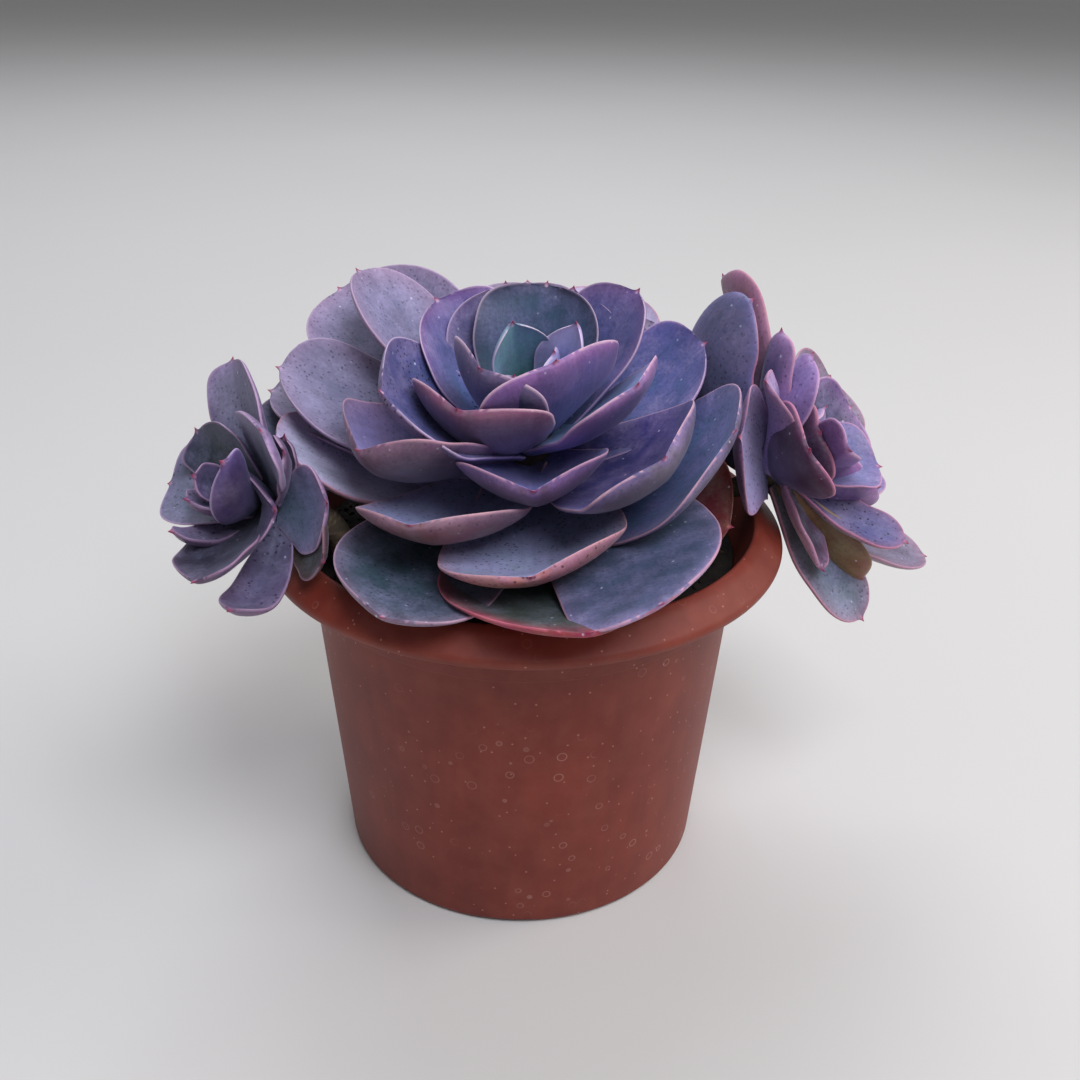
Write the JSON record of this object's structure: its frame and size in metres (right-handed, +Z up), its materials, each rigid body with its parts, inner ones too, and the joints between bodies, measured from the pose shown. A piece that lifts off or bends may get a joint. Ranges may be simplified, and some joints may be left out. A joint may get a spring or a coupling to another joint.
{
  "type": "potted echeveria",
  "caption": "Succulent plant with a large cupped-leaf rosette and smaller side rosettes on bare stems, growing in soil in a round tapered pot with a flanged rim.",
  "frame": {"origin": "on the pot's axis, at the flat pad under the pot's floor, level with the foot that it stands on", "axes": "+Z up along the pot's axis, +X to the right towards the larger side rosette, -Y towards the viewer"},
  "size_m": [0.2823, 0.2073, 0.2156],
  "materials": {
    "pot_plastic": "matte",
    "soil": "matte",
    "stem": "matte",
    "main_leaf": "satin",
    "right_leaf": "satin",
    "left_leaf": "satin"
  },
  "bodies": {
    "root": {"pot": "pot_plastic", "soil": "soil", "main_stem": "stem", "right_stem": "stem", "left_stem": "stem", "main_rosette": "main_leaf", "right_rosette": "right_leaf", "left_rosette": "left_leaf"}
  },
  "joints": []
}
